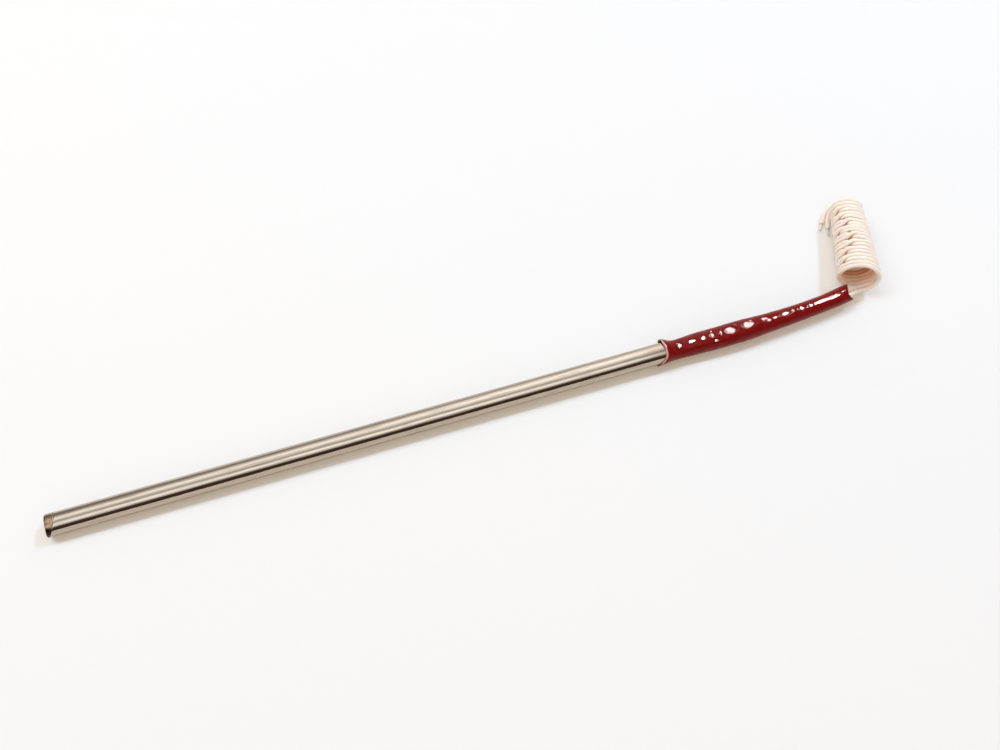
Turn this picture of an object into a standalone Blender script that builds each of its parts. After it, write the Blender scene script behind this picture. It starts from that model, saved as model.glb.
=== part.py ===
"""Flame sensor probe: a closed steel sheath with a twin-wire sensing element inside it.

The sheath lies along +X. Its welded tip face is at the origin and the leads leave at the far end,
under a heat-shrink sleeve, to a wound coil of two parallel leads that lies on the bench beside it.
"""

import math

import bpy
import numpy as np
from mathutils import Vector
from mathutils.geometry import interpolate_bezier

MM = 0.001

# Clearances
FIT_GAP = 0.3 * MM
SHRINK_GAP = 0.2 * MM

# Sheath and welded tip
SHEATH_OD = 6.35 * MM
SHEATH_WALL = 0.5 * MM
SHEATH_LENGTH = 190.5 * MM
PLUG_HEAD = 2.5 * MM
PLUG_CHAMFER = 0.35 * MM
PLUG_SPIGOT = 3.0 * MM
SPIGOT_CHAMFER = 0.4 * MM

# Sensing element
THERMOWIRE_D = 0.7 * MM
JUNCTION_D = 2.2 * MM
JUNCTION_SPREAD = 2.4 * MM
INSULATOR_COUNT = 6
SEAL_LENGTH = 7.0 * MM
SEAL_PROUD = 0.5 * MM

# Splices between the element and the leads
SPLICE_SETBACK = 4.2 * MM
SPLICE_STAGGER = 8.5 * MM
SPLICE_OVERHANG = 1.2 * MM
SPLICE_WALL = 0.3 * MM
CRIMP_LENGTH = 7.0 * MM
CRIMP_WALL = 0.3 * MM
CRIMP_PINCH = 0.12 * MM
CRIMP_WAIST = 1.4 * MM

# Heat-shrink sleeve, which swings aside past the splices
SHRINK_LENGTH = 66.7 * MM
SHRINK_OVERLAP = 5.4 * MM
SHRINK_WALL = 0.35 * MM
SHRINK_TAIL_OD = 5.5 * MM
SHRINK_TAPER = 17.0 * MM
SHRINK_SWING = 2.6 * MM

# Leads and their coil
LEAD_OD = 1.2 * MM
CONDUCTOR_D = 0.7 * MM
LEAD_EXIT_DEPTH = 2.0 * MM
BARE_END_LENGTH = 3.0 * MM
COIL_BORE = 10.8 * MM
COIL_FAR_BORE = 7.8 * MM
COIL_TURNS = 9.625
COIL_START_ANGLE = math.radians(-45)
COIL_YAW = math.radians(23)
COIL_LEAN = math.radians(2)
COIL_AHEAD = 3.9 * MM
COIL_ASIDE = 2.25 * MM
COIL_SLACK = 0.15 * MM
POINTS_PER_TURN = 24

# Points of the free leads, chosen by eye. LEAD_IN is the middle of the pair, from the sleeve's mouth in
# X, Y and Z. LEAD_OUT runs from each lead's last turn: across the coil, along its axis and up
LEAD_IN = ((2.1 * MM, 0.5 * MM, -0.6 * MM), (4.9 * MM, 1.6 * MM, -2.4 * MM))
LEAD_OUT = {
    "positive": ((-0.4 * MM, 0.1 * MM, -1.9 * MM), (-0.7 * MM, -1.2 * MM, -3.7 * MM)),
    "negative": ((-0.5 * MM, 0.2 * MM, -1.9 * MM), (-1.5 * MM, -0.7 * MM, -3.7 * MM)),
}
LEAD_TIP = {"positive": (-0.7 * MM, -3.8 * MM), "negative": (-2.3 * MM, -3.3 * MM)}

# Facets
ROUND_STEPS = 48
SMALL_STEPS = 20
BORE_STEPS = 12
SLEEVE_RINGS = 34
ROOT_POINTS = 9

# Sizes that follow from those above
SHEATH_ID = SHEATH_OD - 2 * SHEATH_WALL
CORE_OD = SHEATH_ID - 2 * FIT_GAP
CORE_BORE = THERMOWIRE_D + 2 * FIT_GAP
WIRE_OFFSET = (CORE_OD + CORE_BORE) / 6
JUNCTION_X = PLUG_HEAD + PLUG_SPIGOT + FIT_GAP + JUNCTION_D / 2
CORE_START = JUNCTION_X + JUNCTION_D / 2 + JUNCTION_SPREAD
SEAL_START = SHEATH_LENGTH - SEAL_LENGTH
SEAL_END = SHEATH_LENGTH + SEAL_PROUD

CRIMP_BORE = max(THERMOWIRE_D, CONDUCTOR_D) + 2 * FIT_GAP
CRIMP_OD = CRIMP_BORE + 2 * CRIMP_WALL
SPLICE_OD = CRIMP_OD + 2 * (FIT_GAP + SPLICE_WALL)
SPLICE_OFFSET = (SPLICE_OD + FIT_GAP) / 2
SPLICE_START = SHEATH_LENGTH + SPLICE_SETBACK
CRIMP_START = {"positive": SPLICE_START + SPLICE_OVERHANG}
CRIMP_START["negative"] = CRIMP_START["positive"] + SPLICE_STAGGER
SPLICE_END = CRIMP_START["negative"] + CRIMP_LENGTH + SPLICE_OVERHANG

SHRINK_START = SHEATH_LENGTH - SHRINK_OVERLAP
SHRINK_NECK_R = SHEATH_OD / 2 + SHRINK_GAP + SHRINK_WALL
SHRINK_BELLY_R = SPLICE_OFFSET + SPLICE_OD / 2 + SHRINK_GAP + SHRINK_WALL
SHRINK_TAIL_R = SHRINK_TAIL_OD / 2
SWING_LENGTH = SHRINK_START + SHRINK_LENGTH - SPLICE_END

LEAD_STEP = LEAD_OD + FIT_GAP
COIL_PITCH = (2 * LEAD_STEP + COIL_SLACK) / math.cos(COIL_LEAN)
COIL_AXIS = Vector((math.sin(COIL_YAW), math.cos(COIL_YAW), 0.0))
COIL_ACROSS = Vector((math.cos(COIL_YAW), -math.sin(COIL_YAW), 0.0))
UP = Vector((0.0, 0.0, 1.0))

# Which side of the middle plane each leg of the circuit takes: the positive leg is on the -Y side
SIDE = {"positive": -1, "negative": 1}


def bench_height(x):
    """Height of the bench, which touches the tip's edge and the rim of the sleeve."""
    deepest = max(SHRINK_NECK_R, SHRINK_BELLY_R)
    return -SHEATH_OD / 2 - (deepest - SHEATH_OD / 2) * x / SHRINK_START


def ease(value):
    """Smooth step from 0 to 1."""
    clipped = min(max(value, 0.0), 1.0)
    return clipped * clipped * (3 - 2 * clipped)


def sleeve_axis(x):
    """Point on the sleeve's middle line: straight over the splices, then swung toward +Y."""
    along = max(0.0, (x - SPLICE_END) / SWING_LENGTH)
    return Vector((x, SHRINK_SWING * along * along, 0.0))


def sleeve_heading(x):
    """Direction of the sleeve's middle line."""
    along = max(0.0, (x - SPLICE_END) / SWING_LENGTH)
    return Vector((1.0, 2 * SHRINK_SWING * along / SWING_LENGTH, 0.0)).normalized()


def sleeve_across(x):
    """Direction square to the sleeve's middle line, level with the bench."""
    heading = sleeve_heading(x)
    return Vector((-heading.y, heading.x, 0.0))


def material(name, colour, roughness, metallic=0.0):
    surface = bpy.data.materials.new(name)
    surface.use_nodes = True
    shader = surface.node_tree.nodes["Principled BSDF"]
    shader.inputs["Base Color"].default_value = (*colour, 1.0)
    shader.inputs["Roughness"].default_value = roughness
    shader.inputs["Metallic"].default_value = metallic
    return surface


def add_object(name, data, surface):
    piece = bpy.data.objects.new(name, data)
    data.materials.append(surface)
    parts.objects.link(piece)
    piece.parent = probe_axis
    return piece


def lay_along_x(piece, x, side=0.0):
    """Stand a piece's own Z axis along +X, at the given place."""
    piece.location = (x, side, 0.0)
    piece.rotation_euler = (0.0, math.pi / 2, 0.0)


def turned(name, profile, surface, steps, closed=False):
    """Turn a profile of (radius, height) points, listed from the top down the outer side."""
    mesh = bpy.data.meshes.new(name)
    edges = [(i, i + 1) for i in range(len(profile) - 1)]
    if closed:
        edges.append((len(profile) - 1, 0))
    mesh.from_pydata([(radius, 0.0, height) for radius, height in profile], edges, [])
    piece = add_object(name, mesh, surface)
    screw = piece.modifiers.new("Turn", "SCREW")
    screw.steps = steps
    screw.render_steps = steps
    screw.use_merge_vertices = True
    screw.merge_threshold = 1e-6
    screw.use_smooth_shade = True
    return piece


def tube(name, length, outer, inner, surface, steps):
    profile = [(outer / 2, length), (outer / 2, 0.0), (inner / 2, 0.0), (inner / 2, length)]
    return turned(name, profile, surface, steps, closed=True)


def wire(name, points, diameter, surface, sides_level=1, thicknesses=None):
    """Round wire through the points; thicknesses are shares of the diameter, one for each point."""
    curve = bpy.data.curves.new(name, "CURVE")
    curve.dimensions = "3D"
    curve.bevel_depth = diameter / 2
    curve.bevel_resolution = sides_level
    curve.use_fill_caps = True
    spline = curve.splines.new("POLY")
    spline.points.add(len(points) - 1)
    for number, point in enumerate(points):
        spline.points[number].co = (*point, 1.0)
        if thicknesses:
            spline.points[number].radius = thicknesses[number]
    return add_object(name, curve, surface)


def circle_points(centre, diameter, count):
    angles = [2 * math.pi * i / count for i in range(count)]
    return [(diameter / 2 * math.cos(a), centre + diameter / 2 * math.sin(a)) for a in angles]


def twin_bore(name, start, end, surface):
    """Round core with two bores for the element's wires."""
    curve = bpy.data.curves.new(name, "CURVE")
    curve.dimensions = "2D"
    curve.fill_mode = "BOTH"
    curve.extrude = (end - start) / 2
    outlines = [circle_points(0.0, CORE_OD, 2 * BORE_STEPS)]
    outlines += [circle_points(side * WIRE_OFFSET, CORE_BORE, BORE_STEPS) for side in (-1, 1)]
    for outline in outlines:
        spline = curve.splines.new("POLY")
        spline.points.add(len(outline) - 1)
        for number, (across, up) in enumerate(outline):
            spline.points[number].co = (across, up, 0.0, 1.0)
        spline.use_cyclic_u = True
    lay_along_x(add_object(name, curve, surface), (start + end) / 2)


def smooth_route(knots, first_heading, last_heading, spacing):
    """Points along a smooth curve through the knots, with given directions at both ends."""
    knots = [Vector(knot) for knot in knots]
    headings = [Vector(first_heading).normalized()]
    headings += [(after - before).normalized() for before, after in zip(knots, knots[2:])]
    headings.append(Vector(last_heading).normalized())
    route = []
    for number, (start, end) in enumerate(zip(knots, knots[1:])):
        reach = (end - start).length / 3
        count = max(2, math.ceil(3 * reach / spacing) + 1)
        handles = (start + reach * headings[number], end - reach * headings[number + 1])
        route += interpolate_bezier(start, *handles, end, count)[:-1]
    return route + [knots[-1]]


def make_sheath(steel, weld_steel):
    sheath_start = PLUG_HEAD + FIT_GAP
    sheath = tube("sheath_tube", SHEATH_LENGTH - sheath_start, SHEATH_OD, SHEATH_ID, steel, ROUND_STEPS)
    lay_along_x(sheath, sheath_start)

    spigot_end = PLUG_HEAD + PLUG_SPIGOT
    spigot_r = SHEATH_ID / 2 - FIT_GAP
    profile = [
        (0.0, spigot_end),
        (spigot_r - SPIGOT_CHAMFER, spigot_end),
        (spigot_r, spigot_end - SPIGOT_CHAMFER),
        (spigot_r, PLUG_HEAD),
        (SHEATH_OD / 2, PLUG_HEAD),
        (SHEATH_OD / 2, PLUG_CHAMFER),
        (SHEATH_OD / 2 - PLUG_CHAMFER, 0.0),
        (0.0, 0.0),
    ]
    lay_along_x(turned("tip_plug", profile, weld_steel, ROUND_STEPS), 0.0)


def make_element(alloys, ceramic, cement):
    """Junction bead, its two wires, the insulators that they pass through and the end seal."""
    angles = [math.pi * i / SMALL_STEPS for i in range(SMALL_STEPS + 1)]
    bead = [(JUNCTION_D / 2 * math.sin(a), JUNCTION_D / 2 * math.cos(a)) for a in angles]
    lay_along_x(turned("hot_junction", bead, alloys["positive"], SMALL_STEPS), JUNCTION_X)

    step = (SEAL_START - CORE_START) / INSULATOR_COUNT
    for number in range(INSULATOR_COUNT):
        start = CORE_START + number * step
        twin_bore(f"insulator_{number + 1}", start, start + step - FIT_GAP, ceramic)
    twin_bore("end_seal", SEAL_START, SEAL_END, cement)

    # The wires leave the bead side by side, run straight through the bores and spread to the splices
    bead_side = (THERMOWIRE_D + FIT_GAP) / 2
    bead_reach = JUNCTION_D / 2 + FIT_GAP
    for leg, side in SIDE.items():
        knots = [
            (JUNCTION_X + bead_reach, side * bead_side, 0.0),
            (CORE_START - FIT_GAP, side * WIRE_OFFSET, 0.0),
            (SEAL_END + FIT_GAP, side * WIRE_OFFSET, 0.0),
            (SPLICE_START - FIT_GAP, side * SPLICE_OFFSET, 0.0),
            (CRIMP_START[leg] + (CRIMP_LENGTH - FIT_GAP) / 2, side * SPLICE_OFFSET, 0.0),
        ]
        wire(f"thermowire_{leg}", knots, THERMOWIRE_D, alloys[leg], sides_level=2)


def make_splices(brass, sleeving):
    """A crimped barrel on each leg, staggered, and an insulating sleeve over each barrel."""
    outer = CRIMP_OD / 2
    bore = CRIMP_BORE / 2
    profile = [(outer, CRIMP_LENGTH)]
    for waist in (0.75 * CRIMP_LENGTH, 0.25 * CRIMP_LENGTH):
        profile.append((outer, waist + CRIMP_WAIST / 2))
        profile.append((outer - CRIMP_PINCH, waist))
        profile.append((outer, waist - CRIMP_WAIST / 2))
    profile += [(outer, 0.0), (bore, 0.0), (bore, CRIMP_LENGTH)]
    for leg, side in SIDE.items():
        barrel = turned(f"crimp_{leg}", profile, brass, SMALL_STEPS, closed=True)
        lay_along_x(barrel, CRIMP_START[leg], side * SPLICE_OFFSET)

        length = CRIMP_START[leg] + CRIMP_LENGTH + SPLICE_OVERHANG - SPLICE_START
        inner = CRIMP_OD + 2 * FIT_GAP
        sleeve = tube(f"splice_sleeve_{leg}", length, SPLICE_OD, inner, sleeving, SMALL_STEPS)
        lay_along_x(sleeve, SPLICE_START, side * SPLICE_OFFSET)


def sleeve_radius(x):
    """Outer radius of the shrunk sleeve: over the sheath, over the splices, then down to the leads."""
    over_splices = ease((x - SHEATH_LENGTH) / SPLICE_SETBACK)
    past_splices = ease((x - SPLICE_END) / SHRINK_TAPER)
    radius = SHRINK_NECK_R + (SHRINK_BELLY_R - SHRINK_NECK_R) * over_splices
    return radius + (SHRINK_TAIL_R - radius) * past_splices


def make_shrink_sleeve(red):
    """Open tube along the sleeve's middle line, thickened inward."""
    curve = bpy.data.curves.new("shrink_sleeve_guide", "CURVE")
    curve.dimensions = "3D"
    curve.bevel_depth = SHRINK_TAIL_R
    curve.bevel_resolution = ROUND_STEPS // 4 - 2
    spline = curve.splines.new("POLY")
    spline.points.add(SLEEVE_RINGS - 1)
    for number, point in enumerate(spline.points):
        x = SHRINK_START + SHRINK_LENGTH * number / (SLEEVE_RINGS - 1)
        point.co = (*sleeve_axis(x), 1.0)
        point.radius = sleeve_radius(x) / SHRINK_TAIL_R
    guide = bpy.data.objects.new("shrink_sleeve_guide", curve)
    parts.objects.link(guide)
    depsgraph = bpy.context.evaluated_depsgraph_get()
    mesh = bpy.data.meshes.new_from_object(guide.evaluated_get(depsgraph))
    bpy.data.objects.remove(guide)
    mesh.materials.clear()
    mesh.shade_smooth()
    sleeve = add_object("shrink_sleeve", mesh, red)
    shell = sleeve.modifiers.new("Wall", "SOLIDIFY")
    shell.thickness = SHRINK_WALL
    shell.offset = -1.0
    shell.use_even_offset = True


def lead_in_sleeve(leg):
    """Points of a lead inside the sleeve, and their thicknesses: a stripped end in its crimp, then the
    insulated lead, which gathers toward its neighbour and ends just inside the sleeve's mouth."""
    side = SIDE[leg]
    stripped = CONDUCTOR_D / LEAD_OD
    crimp_middle = CRIMP_START[leg] + (CRIMP_LENGTH + FIT_GAP) / 2
    crimp_end = CRIMP_START[leg] + CRIMP_LENGTH
    places = (crimp_middle, crimp_end + FIT_GAP, crimp_end + 2 * FIT_GAP)
    points = [Vector((x, side * SPLICE_OFFSET, 0.0)) for x in places]
    gather_start = SPLICE_END + FIT_GAP
    gather_end = SHRINK_START + SHRINK_LENGTH - LEAD_EXIT_DEPTH
    for number in range(ROOT_POINTS):
        share = number / (ROOT_POINTS - 1)
        x = gather_start + (gather_end - gather_start) * share
        spread = SPLICE_OFFSET + (LEAD_STEP / 2 - SPLICE_OFFSET) * ease(share)
        points.append(sleeve_axis(x) + side * spread * sleeve_across(x))
    return points, [stripped, stripped] + [1.0] * (len(points) - 2)


def coil_points(leg):
    """Turns of one lead: wound from lower right over the top to the left, and away from the mouth."""
    ring_yaw = COIL_YAW + COIL_LEAN
    right = Vector((math.cos(ring_yaw), -math.sin(ring_yaw), 0.0))
    start = sleeve_axis(SHRINK_START + SHRINK_LENGTH) + Vector((COIL_AHEAD, COIL_ASIDE, 0.0))
    if leg == "negative":
        start += COIL_AXIS * COIL_PITCH / 2
    count = round(COIL_TURNS * POINTS_PER_TURN)
    turns = []
    for number in range(count + 1):
        angle = COIL_START_ANGLE + 2 * math.pi * number / POINTS_PER_TURN
        radius = (COIL_BORE + (COIL_FAR_BORE - COIL_BORE) * number / count + LEAD_OD) / 2
        centre = start + COIL_AXIS * COIL_PITCH * number / POINTS_PER_TURN
        centre.z = bench_height(centre.x) + radius + LEAD_OD / 2
        turns.append(centre + radius * (math.cos(angle) * right + math.sin(angle) * UP))
    return turns


def lead_in_route(leg, turns):
    """From inside the sleeve's mouth to the first turn."""
    mouth_x = SHRINK_START + SHRINK_LENGTH
    heading = sleeve_heading(mouth_x)
    offset = SIDE[leg] * LEAD_STEP / 2 * sleeve_across(mouth_x)
    mouth = sleeve_axis(mouth_x) + offset
    knots = [mouth] + [mouth + Vector(point) for point in LEAD_IN] + [turns[0]]
    return smooth_route(knots, heading, turns[1] - turns[0], LEAD_OD)


def lead_out_route(leg, turns):
    """From the last turn down to the bench, ending level."""
    last = turns[-1]
    knots = [last]
    for across, along, up in LEAD_OUT[leg]:
        knots.append(last + across * COIL_ACROSS + along * COIL_AXIS + up * UP)
    across, along = LEAD_TIP[leg]
    tip = last + across * COIL_ACROSS + along * COIL_AXIS
    tip.z = bench_height(tip.x) + LEAD_OD / 2
    level = tip - knots[-1]
    level.z = 0.0
    level.normalize()
    route = smooth_route(knots + [tip], last - turns[-2], level, LEAD_OD)
    return route + [tip + level * LEAD_OD], level


def least_gap(points, others, skip):
    """Least distance between two runs of points; skip is how many near neighbours to leave out."""
    first = np.array(points)
    second = np.array(others)
    distance = np.linalg.norm(first[:, None] - second[None], axis=2)
    if skip:
        apart = np.abs(np.arange(len(first))[:, None] - np.arange(len(second))[None])
        distance[apart < skip] = np.inf
    return float(distance.min()) - LEAD_OD


def make_leads(insulation, tinned):
    """Each lead's run inside the sleeve, its free coil in one tube, and its bare end."""
    routes = {}
    for leg in SIDE:
        points, thicknesses = lead_in_sleeve(leg)
        wire(f"lead_root_{leg}", points, LEAD_OD, insulation, sides_level=2, thicknesses=thicknesses)

        turns = coil_points(leg)
        lead_out, level = lead_out_route(leg, turns)
        free_start = points[-1] + FIT_GAP * sleeve_heading(SHRINK_START + SHRINK_LENGTH)
        route = [free_start] + lead_in_route(leg, turns)[:-1] + turns + lead_out[1:]
        routes[leg] = route
        wire(f"lead_coil_{leg}", route, LEAD_OD, insulation)

        bare_start = route[-1] + FIT_GAP * level
        bare = [bare_start, bare_start + BARE_END_LENGTH * level]
        wire(f"bare_end_{leg}", bare, CONDUCTOR_D, tinned, sides_level=2)
        own_gap = least_gap(route, route, POINTS_PER_TURN // 3)
        print(f"lead_coil_{leg} least gap to itself {own_gap / MM:.2f} mm")
    pair_gap = least_gap(routes["positive"], routes["negative"], 0)
    print(f"least gap between the two leads {pair_gap / MM:.2f} mm")


for old in list(bpy.data.objects):
    bpy.data.objects.remove(old, do_unlink=True)

parts = bpy.data.collections.new("flame_sensor_probe")
bpy.context.scene.collection.children.link(parts)
probe_axis = bpy.data.objects.new("probe_axis", None)
parts.objects.link(probe_axis)

drawn_steel = material("drawn stainless steel", (0.55, 0.52, 0.47), 0.35, 1.0)
weld_steel = material("heat-tinted weld steel", (0.36, 0.29, 0.22), 0.45, 1.0)
positive_alloy = material("positive element alloy", (0.45, 0.43, 0.40), 0.4, 1.0)
negative_alloy = material("negative element alloy", (0.52, 0.49, 0.44), 0.4, 1.0)
white_ceramic = material("white ceramic", (0.86, 0.84, 0.78), 0.6)
grey_cement = material("grey sealing cement", (0.55, 0.53, 0.50), 0.9)
tinned_brass = material("tinned brass", (0.72, 0.68, 0.58), 0.35, 1.0)
glass_sleeving = material("glass sleeving", (0.80, 0.76, 0.66), 0.7)
red_shrink = material("red heat-shrink", (0.22, 0.010, 0.010), 0.18)
cream_insulation = material("cream lead insulation", (0.86, 0.76, 0.60), 0.5)
tinned_copper = material("tinned copper", (0.68, 0.66, 0.62), 0.3, 1.0)

make_sheath(drawn_steel, weld_steel)
make_element({"positive": positive_alloy, "negative": negative_alloy}, white_ceramic, grey_cement)
make_splices(tinned_brass, glass_sleeving)
make_shrink_sleeve(red_shrink)
make_leads(cream_insulation, tinned_copper)
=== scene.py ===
"""Flame sensor probe: the dressed model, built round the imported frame.

The file is laid out as an add-on and run as a script. Properties hold the sizes and colours, each group of
pieces has its operator, and the panel in the 3D view's sidebar lists them.
"""

import math

import bmesh
import bpy
from bpy.props import FloatProperty, FloatVectorProperty, PointerProperty
from mathutils import Matrix, Vector, noise
from mathutils.geometry import interpolate_bezier


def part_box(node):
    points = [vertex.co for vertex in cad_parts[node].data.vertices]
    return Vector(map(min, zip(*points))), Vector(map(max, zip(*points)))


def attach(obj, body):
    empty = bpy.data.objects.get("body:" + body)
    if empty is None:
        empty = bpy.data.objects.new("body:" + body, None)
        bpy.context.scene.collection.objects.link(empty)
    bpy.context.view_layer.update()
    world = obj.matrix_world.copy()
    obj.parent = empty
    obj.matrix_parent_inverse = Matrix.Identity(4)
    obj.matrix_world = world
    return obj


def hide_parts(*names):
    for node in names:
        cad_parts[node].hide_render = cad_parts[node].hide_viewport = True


bl_info = {
    "name": "Flame Sensor Probe",
    "version": (1, 0, 0),
    "blender": (4, 5, 0),
    "location": "View3D > Sidebar > Probe",
    "description": "Dresses the packed flame sensor probe and sets its stage",
    "category": "Object",
}

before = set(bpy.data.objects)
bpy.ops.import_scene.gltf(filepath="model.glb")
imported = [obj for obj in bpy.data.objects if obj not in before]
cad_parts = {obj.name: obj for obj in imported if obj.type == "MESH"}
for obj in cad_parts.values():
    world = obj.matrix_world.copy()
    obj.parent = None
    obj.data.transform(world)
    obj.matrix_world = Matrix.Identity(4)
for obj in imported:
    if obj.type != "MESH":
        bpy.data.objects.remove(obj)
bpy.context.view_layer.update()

MM = 0.001
BODY = "root"
UP = Vector((0.0, 0.0, 1.0))
SHARP_ANGLE = math.radians(38)
# Sides of the probe as the photograph shows it: the one that faces the camera, and the far one
FACING = Vector((0.0, -0.43, 0.9))
FAR_SIDE = Vector((0.0, 0.9, 0.43))

# Places that the frame gives
SHEATH_LOW, SHEATH_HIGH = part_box("sheath_tube")
PLUG_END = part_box("tip_plug")[1].x
SLEEVE_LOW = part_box("shrink_sleeve")[0]
SPLICE_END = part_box("splice_sleeve_negative")[1].x

# Middle line of the sleeve and route of the free leads, as the part's source has them. LEAD_IN is the
# middle of the pair, from the sleeve's mouth in X, Y and Z. LEAD_OUT runs from each lead's last turn:
# across the coil, along its axis and up
SLEEVE_LENGTH = 66.7 * MM
SLEEVE_SWING = 2.6 * MM
SLEEVE_MOUTH = SLEEVE_LOW.x + SLEEVE_LENGTH
LEAD_CORE = 1.2 * MM
LEAD_STEP = 1.5 * MM
LEAD_EXIT_DEPTH = 2.0 * MM
LEAD_IN = ((2.1 * MM, 0.5 * MM, -0.6 * MM), (4.9 * MM, 1.6 * MM, -2.4 * MM))
LEAD_OUT = {
    "positive": ((-0.4 * MM, 0.1 * MM, -1.9 * MM), (-0.7 * MM, -1.2 * MM, -3.7 * MM)),
    "negative": ((-0.5 * MM, 0.2 * MM, -1.9 * MM), (-1.5 * MM, -0.7 * MM, -3.7 * MM)),
}
LEAD_TIP = {"positive": (-0.7 * MM, -3.8 * MM), "negative": (-2.3 * MM, -3.3 * MM)}
COIL_BORE = 10.8 * MM
COIL_FAR_BORE = 7.8 * MM
COIL_TURNS = 9.625
COIL_START_ANGLE = math.radians(-45)
COIL_YAW = math.radians(23)
COIL_LEAN = math.radians(2)
COIL_OFFSET = Vector((3.9 * MM, 2.25 * MM, 0.0))
COIL_SLACK = 0.15 * MM
COIL_PITCH = (2 * LEAD_STEP + COIL_SLACK) / math.cos(COIL_LEAN)
COIL_AXIS = Vector((math.sin(COIL_YAW), math.cos(COIL_YAW), 0.0))
COIL_ACROSS = Vector((math.cos(COIL_YAW), -math.sin(COIL_YAW), 0.0))
SIDE = {"positive": -1, "negative": 1}

# The photograph's tube is a little thicker than the frame's, and it ends soon after it enters the sleeve
TUBE_SHARE = 1.03
TUBE_COVERED = 1.4 * MM


def linear(code):
    """Linear colour of an sRGB hex code."""
    shares = [int(code[place : place + 2], 16) / 255 for place in (0, 2, 4)]
    return [share / 12.92 if share <= 0.04045 else ((share + 0.055) / 1.055) ** 2.4 for share in shares]


def length_property(name, description, default):
    return FloatProperty(
        name=name, description=description, default=default, min=0.0, unit="LENGTH", precision=5
    )


def colour_property(name, description, code):
    return FloatVectorProperty(
        name=name, description=description, default=linear(code), subtype="COLOR", size=3, min=0.0, max=1.0
    )


class ProbeSizes(bpy.types.PropertyGroup):
    """Sizes of the dressed pieces, in metres."""

    sheath_radius: length_property("Sheath radius", "Outside of the drawn tube", TUBE_SHARE * SHEATH_HIGH.z)
    sheath_end: length_property("Sheath end", "Place of the tube's open end", SLEEVE_LOW.x + TUBE_COVERED)
    sheath_wall: length_property("Sheath wall", "Thickness of the tube's wall", 0.5 * MM)
    tip_round: length_property("Tip rounding", "Radius of the plug's outer edge", 0.5 * MM)
    weld_width: length_property("Weld width", "Width of the bead between plug and tube", 0.6 * MM)
    weld_height: length_property("Weld height", "Height of the bead above the tube", 0.04 * MM)
    sleeve_wall: length_property("Sleeve wall", "Thickness of the heat-shrink past the tube", 0.45 * MM)
    sleeve_neck_wall: length_property("Sleeve neck wall", "Least thickness of the heat-shrink", 0.1 * MM)
    sleeve_unevenness: length_property("Sleeve unevenness", "Height of the waves over the splices", 0.09 * MM)
    lead_diameter: length_property("Lead diameter", "Outside of the braided leads", 1.38 * MM)
    strand_diameter: length_property("Strand diameter", "One strand of a lead's bare end", 0.23 * MM)
    bare_length: length_property("Bare length", "How far a lead is stripped", 3.0 * MM)


class ProbeColours(bpy.types.PropertyGroup):
    """Colours of the finishes."""

    steel: colour_property("Steel", "Drawn stainless steel", "BCAC99")
    weld: colour_property("Weld", "Oxide on the welded plug", "9A8068")
    # Scorch also darkens the plug towards its lower side on the camera's side
    scorch: colour_property("Scorch", "Burnt oxide below the plug", "3A241A")
    shrink: colour_property("Heat-shrink", "Body of the red sleeve", "76120F")
    shrink_rim: colour_property("Heat-shrink rim", "Thin stretched edge of the sleeve", "E0AFA2")
    braid: colour_property("Braid", "Glass braid of the leads", "FFEFE3")
    tin: colour_property("Tin", "Tinned copper and brass", "F2EEE6")
    ceramic: colour_property("Ceramic", "Fired insulators", "EFECE3")
    cement: colour_property("Cement", "Sealing cement", "C2BFB8")
    sleeving: colour_property("Sleeving", "Woven tubes over the splices", "E6E0D2")
    positive_alloy: colour_property("Positive alloy", "Positive element wire", "B4B0A8")
    negative_alloy: colour_property("Negative alloy", "Negative element wire", "BDB8AE")


class StageSettings(bpy.types.PropertyGroup):
    """Camera, bench and light."""

    camera_place: FloatVectorProperty(
        name="Camera place",
        description="Where the camera stands",
        default=(100.387 * MM, -99.997 * MM, 207.12 * MM),
        subtype="TRANSLATION",
        size=3,
    )
    camera_elevation: FloatProperty(
        name="Camera elevation",
        description="How far the camera looks down",
        default=math.radians(61.4),
        subtype="ANGLE",
    )
    camera_turn: FloatProperty(
        name="Camera turn",
        description="Turn of the view from square to the tube",
        default=math.radians(17.5),
        subtype="ANGLE",
    )
    camera_lens: FloatProperty(name="Camera lens", description="Focal length in mm", default=27.72)
    key_level: FloatProperty(name="Key level", description="Radiance of the long softbox", default=8.0)
    side_level: FloatProperty(name="Side level", description="Radiance of the right softbox", default=140.0)
    glint_level: FloatProperty(name="Glint level", description="Radiance of it in gloss", default=185.0)
    fill_level: FloatProperty(name="Fill level", description="Radiance of the studio as light", default=0.66)
    bench: colour_property("Bench", "Matt white board", "DADADA")
    bench_lift: FloatProperty(name="Bench lift", description="Warm light added to the board", default=0.18)


def share_between(value, start, end):
    """0 up to the start, 1 from the end on, and even between them."""
    return min(max((value - start) / (end - start), 0.0), 1.0)


def fade(value, start, end):
    """Smooth step from 0 at the start to 1 at the end."""
    share = share_between(value, start, end)
    return share * share * (3 - 2 * share)


def plateau(value, start, full, falling, end):
    """Smooth rise from 0 to 1 and fall back to 0."""
    return fade(value, start, full) * (1 - fade(value, falling, end))


def bench_height(x):
    """Height of the bench, which touches the tip's edge and the sleeve."""
    return SHEATH_LOW.z + (SLEEVE_LOW.z - SHEATH_LOW.z) * x / SLEEVE_LOW.x


def sleeve_axis(x):
    """Point on the sleeve's middle line: straight over the splices, then swung toward +Y."""
    along = max(0.0, (x - SPLICE_END) / (SLEEVE_MOUTH - SPLICE_END))
    return Vector((x, SLEEVE_SWING * along * along, 0.0))


def sleeve_heading(x):
    """Direction of the sleeve's middle line."""
    step = 0.1 * MM
    return (sleeve_axis(x + step) - sleeve_axis(x - step)).normalized()


def sleeve_across(x):
    """Direction square to the sleeve's middle line, level with the bench."""
    return UP.cross(sleeve_heading(x))


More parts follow.
